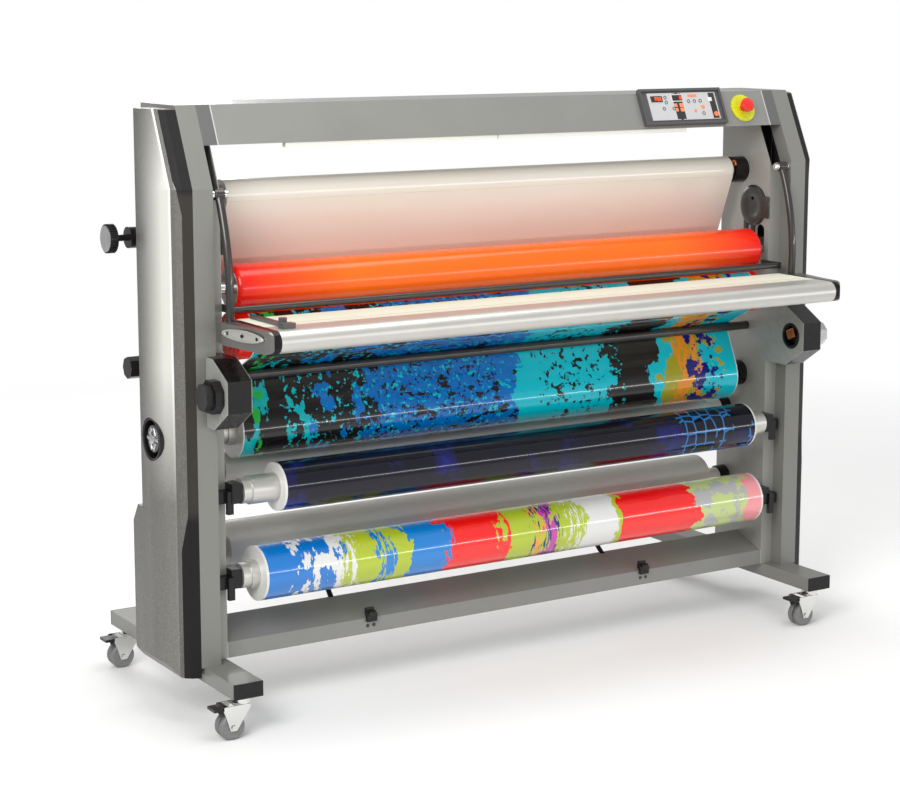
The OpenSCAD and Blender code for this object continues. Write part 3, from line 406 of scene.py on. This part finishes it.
# %% The supply roll and its web: black, blue, cyan, black and olive
print_blue = Finish("print_blue", BLUE, 0.2, coat=0.5, coat_roughness=0.03)
f = print_blue
f.set("Specular IOR Level", 0.3)
art = fields(f, [(-0.77, BLACK), (-0.38, BLUE), (0.05, CYAN), (0.35, BLACK), (0.5, CYAN),
                 (0.54, OLIVE), (0.69, CYAN)], ragged=0.16, size=120)
art = painted(f, art, [
    (64, 0.385, -0.90, -0.46, TEAL, dict(stretch=(1.3, 1, 0.6), shift=(6, 2, 1))),
    (70, 0.46, -0.7, -0.16, BLUE, dict(stretch=(1.2, 1, 0.6), shift=(3, 1, 2))),
    (12, 0.3, -0.5, 0.1, BLACK, dict(detail=3, shift=(2, 2, 2))),
    (14, 0.28, -0.76, 0.5, CYAN, dict(detail=3, shift=(7, 2, 2))),
    (26, 0.30, -0.42, 0.16, BLACK, dict(detail=4, stretch=(0.6, 1, 1.2))),
    (20, 0.34, 0.0, 0.42, BLACK, dict(shift=(5, 0, 1))),
    (30, 0.5, -0.84, -0.6, GREEN, dict(stretch=(1.6, 1, 0.6), shift=(1, 7, 0))),
    (30, 0.55, 0.46, 0.76, ORANGE, dict(stretch=(2.2, 0.8, 0.8), shift=(2, 4, 0))),
    (34, 0.44, 0.5, 0.82, NAVY, dict(shift=(9, 4, 5))),
    (60, 0.3, 0.46, 0.62, CYAN, dict(stretch=(3, 0.8, 0.6), shift=(4, 4, 5))),
])
rim(f, art, -0.764, 0.778)

# %% [markdown]
# ### The middle roll
# This film is almost black, so its print shows as a few blue clouds. A Voronoi texture that measures
# the distance to the nearest cell border gives the thin cell outlines near one end.

# %% The middle roll: near-black navy with blue clouds and cell outlines
print_navy = Finish("print_navy", NAVY, 0.16, coat=0.35, coat_roughness=0.03)
f = print_navy
f.set("Specular IOR Level", 0.25)
x, y, z = f.axes()
deep = f.ramp(f.noise(150, 5, 0.6), [(0.0, (0.003, 0.003, 0.005)), (0.56, (0.004, 0.004, 0.012)),
                                     (0.66, (0.006, 0.008, 0.1)), (0.76, (0.02, 0.02, 0.3))])
cells = f.node("ShaderNodeTexVoronoi", {"feature": "DISTANCE_TO_EDGE"},
               {"Vector": f.place, "Scale": 1 / 0.032, "Randomness": 0.35})
patch = f.noise(110, 3) * ((x - 0.42) / 0.1).clamp()
mesh_lines = (cells < 0.07) * (patch > 0.42)
art = f.mix(mesh_lines, deep, (0.02, 0.16, 0.42))
art = f.mix(splash(f, 120, 0.34, 0.40, 0.62, shift=(3, 3, 3)), art, (0.01, 0.16, 0.8))
rim(f, art, -0.71, 0.745)

# %% [markdown]
# ### The take-up roll
# Here the fields are narrow and bright. Noise that is squeezed along the roll and stretched round it
# turns blots into strokes.

# %% The take-up roll: blue, white, red, lime and pale green strokes
LIME = (0.42, 0.52, 0.02)
PALE = (0.5, 0.6, 0.22)
RED = (0.9, 0.004, 0.002)
WHITE = (0.72, 0.72, 0.7)
MAGENTA = (0.55, 0.05, 0.4)
print_mixed = Finish("print_mixed", LIME, 0.24, coat=0.9, coat_roughness=0.04)
f = print_mixed
art = fields(f, [(-0.77, BLUE), (-0.57, WHITE), (-0.54, LIME), (-0.47, SKY), (-0.43, LIME), (-0.38, SKY),
                 (-0.25, RED), (-0.09, LIME), (0.05, MAGENTA), (0.08, LIME), (0.17, WHITE), (0.27, LIME),
                 (0.30, RED), (0.54, PALE), (0.735, (0.85, 0.3, 0.32))],
             ragged=0.11, size=80, stretch=(1.2, 1, 0.8))
art = painted(f, art, [
    (44, 0.44, -0.80, -0.38, WHITE, dict(stretch=(2, 1, 0.8))),
    (30, 0.46, -0.66, -0.26, LIME, dict(stretch=(3.4, 1, 0.5), shift=(3, 3, 0))),
    (40, 0.46, -0.36, 0.04, RED, dict(stretch=(2.4, 1, 0.8), shift=(1, 6, 0))),
    (26, 0.44, -0.1, 0.2, (0.02, 0.02, 0.16), dict(stretch=(3, 0.8, 0.5), shift=(1, 9, 0))),
    (26, 0.42, -0.1, 0.16, ORANGE, dict(stretch=(3, 0.8, 0.5), shift=(6, 9, 3))),
    (20, 0.4, 0.0, 0.36, WHITE, dict(stretch=(4, 0.8, 0.5), shift=(2, 5, 3))),
    (50, 0.42, 0.44, 0.84, (0.42, 0.42, 0.42), dict(shift=(8, 2, 1))),
])
rim(f, art, -0.762, 0.776)
print(len(bpy.data.materials), "materials")

# %% [markdown]
# ## Finishes on the frame's own solids
# A solid whose shape is right stays and only gets its finish. The record says which finish each
# solid has, so one loop gives them all their materials.

# %% Give each solid its finish
finishes = {
    "frame_paint": frame_paint, "plate_paint": plate_paint, "header_paint": header_paint,
    "cover_silver": cover_silver, "dark_trim": dark_trim, "grey_plastic": grey_plastic,
    "orange_plastic": orange_plastic, "yellow_plastic": yellow_plastic, "red_plastic": red_plastic,
    "aluminium": aluminium, "deck_paint": deck_paint, "casting": casting, "dark_steel": dark_steel,
    "silicone_red": silicone_red, "steel": steel, "chrome": chrome, "white_film": white_film,
    "print_blue": print_blue, "print_navy": print_navy, "print_mixed": print_mixed,
    "liner_white": liner_white, "black_plastic": black_plastic, "wheel_grey": wheel_grey,
    "chain_steel": chain_steel,
    "membrane": coated("membrane", (0.5, 0.5, 0.5), 0.3, coat=0.4, depth=0.01),
    "lamp_white": coated("lamp_white", (0.75, 0.75, 0.68), 0.4, depth=0.01),
}
pod_faces = coated("pod_faces", (0.008, 0.007, 0.007), 0.28, grain=0.7, depth=0.03, coat=0.2)
f = pod_faces
x, y, z = f.axes()
flat = (abs(x) < 0.8425) + (abs(x) > 0.9035)
f.set("Base Color", f.mix(flat.clamp(), (0.008, 0.007, 0.007), (0.3, 0.3, 0.28)))
f.set("Specular IOR Level", 0.3)
own = {"cover_trims": cover_trim, "winder_pods": pod_faces, "rear_knob_upper": black_plastic,
       "pod_knob_left": black_plastic, "pod_knob_right": steel, "nip_handwheel": grey_plastic}


def wear(obj, finish):
    obj.data.materials.clear()
    obj.data.materials.append(finish.material)


slots = {row["node"]: row["material_slot"] for row in frame["record"]["subparts"]}
for name, obj in nodes.items():
    wear(obj, own.get(name, finishes[slots[name]]))
print(len(nodes), "solids finished")

# %% [markdown]
# ## Fittings modelled by hand
# Small turned parts all start as a disc that is extruded and resized ring by ring, as on a lathe.
# Small moulded parts start as a cube whose edges are bevelled. Each is shaped upright first and then
# laid in place, and its place is applied so that its mesh holds it, as a drawn solid's does.

# %% Helpers for turned and moulded parts
LEAN = math.atan2(HEAD_LEAN, HEAD_DROP)
SILVER = finishes["steel"]
made = []


def clear():
    if bpy.context.object and bpy.context.object.mode != "OBJECT":
        bpy.ops.object.mode_set(mode="OBJECT")
    bpy.ops.object.select_all(action="DESELECT")


def pick(part):
    clear()
    part.select_set(True)
    bpy.context.view_layer.objects.active = part


def lay(part, centre, facing=(0, 0, 1), twist=0.0):
    """Turns the part's top towards facing, puts its foot at centre and applies that."""
    pick(part)
    turn = Vector(facing).to_track_quat("Z", "Y").to_matrix().to_4x4()
    part.matrix_world = Matrix.Translation(at(*centre)) @ turn @ Matrix.Rotation(math.radians(twist), 4, "Z")
    bpy.ops.object.transform_apply(location=True, rotation=True, scale=True)
    return part


def turned(name, rings, sides=40, squash=(1, 1)):
    """A lathe-turned part along Z from rings of (radius, height) in millimetres."""
    clear()
    bpy.ops.mesh.primitive_circle_add(vertices=sides, radius=rings[0][0] * MM, fill_type="NGON",
                                      location=(0, 0, rings[0][1] * MM))
    part = bpy.context.object
    part.name = name
    bpy.ops.object.mode_set(mode="EDIT")
    bpy.ops.mesh.select_all(action="SELECT")
    radius, height = rings[0]
    for new_radius, new_height in rings[1:]:
        bpy.ops.mesh.extrude_region_move(TRANSFORM_OT_translate={"value": (0, 0, (new_height - height) * MM)})
        factor = new_radius / radius
        bpy.ops.transform.resize(value=(factor, factor, 1), center_override=(0, 0, 0))
        radius, height = new_radius, new_height
    bpy.ops.mesh.select_all(action="SELECT")
    bpy.ops.transform.resize(value=(squash[0], squash[1], 1), center_override=(0, 0, 0))
    bpy.ops.mesh.normals_make_consistent(inside=False)
    bpy.ops.object.mode_set(mode="OBJECT")
    bpy.ops.object.shade_smooth_by_angle(angle=math.radians(32))
    return part


def moulded(name, size, rounding=1.5):
    """A bevelled block that stands on its foot, with its size in millimetres."""
    clear()
    bpy.ops.mesh.primitive_cube_add(size=MM, location=(0, 0, size[2] / 2 * MM), scale=size)
    part = bpy.context.object
    part.name = name
    bpy.ops.object.transform_apply(location=True, rotation=True, scale=True)
    bpy.ops.object.mode_set(mode="EDIT")
    bpy.ops.mesh.select_all(action="SELECT")
    bpy.ops.mesh.bevel(offset=rounding * MM, segments=3, affect="EDGES")
    bpy.ops.object.mode_set(mode="OBJECT")
    bpy.ops.object.shade_smooth_by_angle(angle=math.radians(40))
    return part


def hoop(name, inner, outer, deep, sides=48):
    """A ring about Z: its section is a small plane that is spun right round."""
    clear()
    bpy.ops.mesh.primitive_plane_add(size=MM, location=((inner + outer) / 2 * MM, 0, deep / 2 * MM),
                                     rotation=(math.radians(90), 0, 0), scale=(1, 1, 1))
    part = bpy.context.object
    part.name = name
    part.scale = (outer - inner, deep, 1)
    bpy.ops.object.transform_apply(location=True, rotation=True, scale=True)
    bpy.ops.object.mode_set(mode="EDIT")
    bpy.ops.mesh.select_all(action="SELECT")
    bpy.ops.mesh.bevel(offset=min(outer - inner, deep) * 0.2 * MM, segments=2, affect="VERTICES")
    bpy.ops.mesh.spin(steps=sides, angle=2 * math.pi, center=(0, 0, 0), axis=(0, 0, 1))
    bpy.ops.mesh.select_all(action="SELECT")
    bpy.ops.mesh.remove_doubles(threshold=0.00002)
    bpy.ops.mesh.delete_loose()
    bpy.ops.mesh.select_all(action="SELECT")
    bpy.ops.mesh.normals_make_consistent(inside=False)
    bpy.ops.object.mode_set(mode="OBJECT")
    bpy.ops.object.shade_smooth_by_angle(angle=math.radians(40))
    return part


def gather(name, parts):
    pick(parts[0])
    for part in parts[1:]:
        part.select_set(True)
    if len(parts) > 1:
        bpy.ops.object.join()
    bpy.context.object.name = name
    return bpy.context.object


def fit(piece, finish, body):
    """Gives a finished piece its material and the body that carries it."""
    wear(piece, finish)
    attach(piece, body)
    made.append(piece.name)
    print(piece.name, len(piece.data.polygons), "faces")


def on_slant(up, out):
    """Y and Z on the header's slanted face, up along it from the bezel's middle and out from it."""
    middle_y = (BEZEL[1] - BEND_Z) * HEAD_LEAN / HEAD_DROP
    y = middle_y + up * math.sin(LEAN) - out * math.cos(LEAN)
    return y, BEZEL[1] + up * math.cos(LEAN) + out * math.sin(LEAN)


OUTWARDS = (0, -math.cos(LEAN), math.sin(LEAN))

# %% [markdown]
# ## The control panel
# Keys and displays sit on flexible panels. Each is a thin bevelled pad, because a raised edge catches
# the light where a painted shape would look flat. The pads of one call are joined into one piece.

# %% Keys and displays


def pads(name, places, finish, thick=1.6):
    """Pads on the panel from (x, up, width, height), measured from the bezel's middle."""
    parts = []
    for x, up, width, height in places:
        y, z = on_slant(up, PANEL_OUT)
        parts.append(lay(moulded(name, (width, height, thick), 0.5), (BEZEL[0] + x, y, z), OUTWARDS))
    fit(gather(name, parts), finish, "frame")


def rounds(name, places, finish, hollow=0.0):
    parts = []
    for x, up, radius in places:
        y, z = on_slant(up, PANEL_OUT)
        part = (hoop(name, radius * hollow, radius, 1.4, 24) if hollow
                else turned(name, [(radius, 0), (radius, 1.2), (radius * 0.8, 1.8)], 24))
        parts.append(lay(part, (BEZEL[0] + x, y, z), OUTWARDS))
    fit(gather(name, parts), finish, "frame")


panel_black = coated("panel_black", (0.02, 0.018, 0.018), 0.25, coat=0.6, depth=0.01, grain=0.8)
led_red = Finish("led_red", (0.8, 0.05, 0.01), 0.3, coat=0.6)
x, y, z = led_red.axes()
bars = led_red.noise(2.2, 1)
led_red.set("Base Color", led_red.mix(bars > 0.5, (0.25, 0.01, 0.005), (0.95, 0.09, 0.02)))
led_red.set("Emission Color", (0.8, 0.05, 0.01))
led_red.set("Emission Strength", 0.25)
key_orange = coated("key_orange", (0.9, 0.24, 0.1), 0.35, coat=0.4, depth=0.02, grain=0.8)
pads("panel_strips", [(-14, 0, 30, 74), (104, 0, 20, 74)], panel_black, 0.9)
pads("panel_windows", [(-84, 22, 38, 17), (-15, 24, 34, 17)], panel_black, 2.2)
pads("panel_digits", [(-80, 22, 22, 11), (-4, 24, 9, 11)], led_red, 2.8)
pads("panel_keys", [(-24, 3, 9, 10), (-6, 3, 12, 11), (-24, -10, 9, 10), (-6, -10, 12, 11), (38, 30, 30, 7)],
     key_orange)
pads("panel_white_keys", [(96, 18, 12, 11)], finishes["lamp_white"], 2.2)
pads("panel_window_frame", [(-15, 24, 38, 21)], finishes["lamp_white"], 1.8)
rounds("panel_key_rings", [(-54, 26, 5), (-54, 12, 5), (-66, -6, 5), (-33, -6, 5), (22, 14, 5), (42, 14, 5),
                           (62, 14, 5), (64, -22, 5)], panel_black, 0.72)
rounds("panel_dots", [(66, -3, 6), (38, -14, 4.5)], key_orange)

# %% [markdown]
# ## Lift cams, pivot heads and the chucks' jaws
# A dark oval casting sits on each side plate above the upper roller's end, with a lug towards the
# front and two legs that reach down behind the journal. Socket heads finish the arms' pivot pins.

# %% Castings and screws on the side plates
CAM_RINGS = [(54, 0), (54, 4), (50, 6.5), (44, 7.5), (30, 7.5), (27, 6), (10, 6)]
for side, word in ((-1, "left"), (1, "right")):
    inward = (-side, 0, 0)
    parts = [
        lay(turned("cam", CAM_RINGS, 48, (1, 1.06)),
            (side * PLATE_X, 108, 1160), inward),
        lay(moulded("lug", (44, 60, 6), 2), (side * PLATE_X, 62, 1158), inward),
        lay(moulded("leg", (16, 46, 6), 1.5), (side * PLATE_X, 107, 1100), inward),
        lay(moulded("leg", (16, 46, 6), 1.5), (side * PLATE_X, 137, 1102), inward),
        lay(turned("boss", [(7, 5), (7, 10), (5, 11)], 24), (side * PLATE_X, 108, 1180), inward),
    ]
    fit(gather("lift_cam_" + word, parts), dark_steel, "frame")

pins = nodes["table_pivots"].data.vertices
inner_end = min(abs(v.co.x - MIDDLE) for v in pins) / MM
print("pivot pins start at", round(inner_end, 1))
parts = []
for side in (-1, 1):
    head = turned("head", [(9, 0), (9, 6), (8, 7), (5.5, 7), (5.0, 3), (1, 3)], 32)
    parts.append(lay(head, (side * (inner_end + 1), *PIVOT), (-side, 0, 0)))
fit(gather("pivot_heads", parts), chrome, "feed_table")

parts = []
for side in (-1, 1):
    parts.append(lay(hoop("jaw ring", 27, 35.5, 9), (side * PLATE_X, *SOCKET), (side, 0, 0)))
    disc = turned("jaw disc", [(26, 8), (26, 11), (20, 13)], 32)
    parts.append(lay(disc, (side * 861, *SOCKET), (-side, 0, 0)))
fit(gather("pod_sockets", parts), black_plastic, "frame")
parts = [lay(moulded("jaw", (30, 26, 14), 2), (side * 853, -60, 817), (-side, 0, 0), 24) for side in (-1, 1)]
parts.append(lay(moulded("jaw", (20, 16, 6), 1.5), (799, 146, 1276), (-1, 0, 0), 20))
fit(gather("chuck_jaws", parts), copper, "frame")

# %% [markdown]
# ## The end castings' eye-shaped insets
# Each end of the table shows a bright eye-shaped inset with three screw holes. It is a disc with
# stepped rings, squashed to an eye and laid along the casting's slanting outer face.

# %% Insets on the table's ends
rims, holes = [], []
for side in (-1, 1):
    facing = Vector((side * 0.989, -0.150, 0.0))
    eye = turned("inset", [(100, 0), (100, 4), (96, 6), (82, 6), (76, 2.5), (10, 2.5)], 64, (0.82, 0.135))
    rims.append(lay(eye, (side * 876.0, -141, 961), facing))
    for spot, rise in ((-200, 0), (-141, 0), (-80, 0)):
        x = 862 + 26 * (spot + 221) / 171 + 4.4
        holes.append(lay(turned("hole", [(4.2, 0), (4.2, 2.6), (3, 2.6), (2.6, 1.2), (0.5, 1.2)], 24),
                         (side * x, spot, 961 + rise), facing))
fit(gather("end_insets", rims), aluminium, "feed_table")
fit(gather("end_screws", holes), black_plastic, "feed_table")

# %% [markdown]
# ## Knobs at the rear and the handwheel's well
# The upper rear knob has a bright knurled face. The handwheel sits in a dark round well in the cover.

# %% Knob face, handwheel and well
face = turned("knob_face", [(31, 0), (31, 1.5), (29, 2.5), (21, 2.5), (18, 1.2), (4, 1.2)], 48)
lay(face, (-1054.5, *REAR_KNOB), (-1, 0, 0))
ribs = []
for angle in (math.tau * i / 28 for i in range(28)):
    across, rise = math.cos(angle), math.sin(angle)
    place = (-1045, REAR_KNOB[0] + 33 * across, REAR_KNOB[1] + 33 * rise)
    ribs.append(lay(moulded("rib", (2.4, 20, 2.2), 0.7), place, (0, across, rise), 90))
fit(gather("rear_knob_face", [face]), SILVER, "rear_knob_upper")
fit(gather("rear_knob_ribs", ribs), black_plastic, "rear_knob_upper")

well = lay(hoop("well", 46, 51.5, 20), (-1000, *HANDWHEEL), (1, 0, 0))
fit(gather("handwheel_well", [well]), black_plastic, "frame")
spokes = []
for angle in (math.tau * i / 6 for i in range(6)):
    place = (-994, HANDWHEEL[0] + 20 * math.cos(angle), HANDWHEEL[1] + 20 * math.sin(angle))
    spokes.append(lay(moulded("flute", (9, 22, 4), 1.6), place, (-1, 0, 0), 90 + math.degrees(angle)))
cap = lay(turned("cap", [(12, 0), (12, 5), (9, 6.5), (2, 6.5)], 32), (-995, *HANDWHEEL), (-1, 0, 0))
fit(gather("handwheel_flutes", spokes + [cap]), SILVER, "nip_handwheel")

# %% [markdown]
# ## Clips and straps on the lower beam
# Two black clips with a pair of rivets each sit on the beam, and two short straps lean behind it.

# %% Beam clips, rivets and straps
clips, rivets = [], []
for x in (-440, 421):
    clips += [lay(moulded("clip", (30, 22, 10), 2), (x, 44, 182), (0, -1, 0)),
              lay(moulded("hook", (24, 10, 22), 2), (x, 50, 184), (0, 0, 1)),
              lay(turned("roller", [(8, 0), (8, 20), (6, 21)], 24), (x - 10, 40, 192), (1, 0, 0))]
    for dx in (-9, 9):
        rivet = turned("rivet", [(4.5, 0), (4.5, 1.2), (3, 2.4), (1, 2.8)], 20)
        rivets.append(lay(rivet, (x + dx, 43, 160), (0, -1, 0)))
clips += [lay(moulded("strap", (14, 62, 5), 1.5), (-497, 160, 226), (0, -0.75, 0.66)),
          lay(moulded("strap", (14, 72, 5), 1.5), (355, 168, 230), (0, -0.6, 0.8))]
fit(gather("beam_clips", clips), black_plastic, "frame")
fit(gather("beam_rivets", rivets), dark_steel, "frame")
print(len(made), "pieces modelled")

# %% [markdown]
# ## Floor, light and camera
# A plain pale floor and soft studio light. A long low strip in front draws the narrow bright line
# along every film roll. The camera stands left of the machine, a little above its top.

# %% Stage, lights and camera
bpy.ops.mesh.primitive_plane_add(size=60, location=(0, 0, 0))
floor = bpy.context.object
floor.name = "floor"
pale = Finish("pale_floor", (0.9, 0.9, 0.9), 0.85)
pale.set("Base Color", pale.mix(pale.noise(900, 3), (0.89, 0.89, 0.89), (0.92, 0.92, 0.91)))
away = pale.node("ShaderNodeVectorMath", {"operation": "LENGTH"}, [pale.place], 1)
pale.set("Alpha", ((4.6 - away) / 2.6).clamp())
wear(floor, pale)

world = bpy.data.worlds.new("studio")
bpy.context.scene.world = world
world.use_nodes = True
sky = world.node_tree.nodes["Background"]
sky.inputs["Color"].default_value = (1.0, 1.0, 1.0, 1.0)
rays = world.node_tree.nodes.new("ShaderNodeLightPath")
level = world.node_tree.nodes.new("ShaderNodeMapRange")
level.inputs["To Min"].default_value = 0.55
level.inputs["To Max"].default_value = 1.0
world.node_tree.links.new(rays.outputs["Is Camera Ray"], level.inputs["Value"])
world.node_tree.links.new(level.outputs["Result"], sky.inputs["Strength"])
bpy.context.scene.view_settings.view_transform = "Standard"


def area_light(name, place, target, size, power):
    data = bpy.data.lights.new(name, "AREA")
    data.shape = "RECTANGLE"
    data.size, data.size_y = size
    data.energy = power
    lamp = bpy.data.objects.new(name, data)
    bpy.context.scene.collection.objects.link(lamp)
    lamp.location = place
    lamp.rotation_euler = (Vector(target) - Vector(place)).to_track_quat("-Z", "Y").to_euler()
    lamp.visible_camera = False
    return lamp


area_light("key_left", (-3.6, -2.6, 3.2), (0, 0, 0.8), (2.2, 2.2), 150)
area_light("low_strip", (3.4, -6.4, 1.15), (0, 0, 0.75), (9.0, 0.22), 110)
area_light("top_soft", (0.5, -0.6, 4.6), (0, 0, 0.8), (3.6, 2.4), 90)
area_light("back_soft", (0.0, 4.2, 2.6), (0, 0, 0.9), (3.0, 2.0), 60)

camera_data = bpy.data.cameras.new("camera")
camera = bpy.data.objects.new("camera", camera_data)
bpy.context.scene.collection.objects.link(camera)
camera.location = (-2.9498, -4.5830, 1.6958)
camera.rotation_euler = (math.radians(80.842), 0.0, math.radians(-31.856))
camera_data.lens = 83.698
camera_data.sensor_width = 36.0
camera_data.shift_y = -0.06
camera_data.clip_end = 100
bpy.context.scene.camera = camera
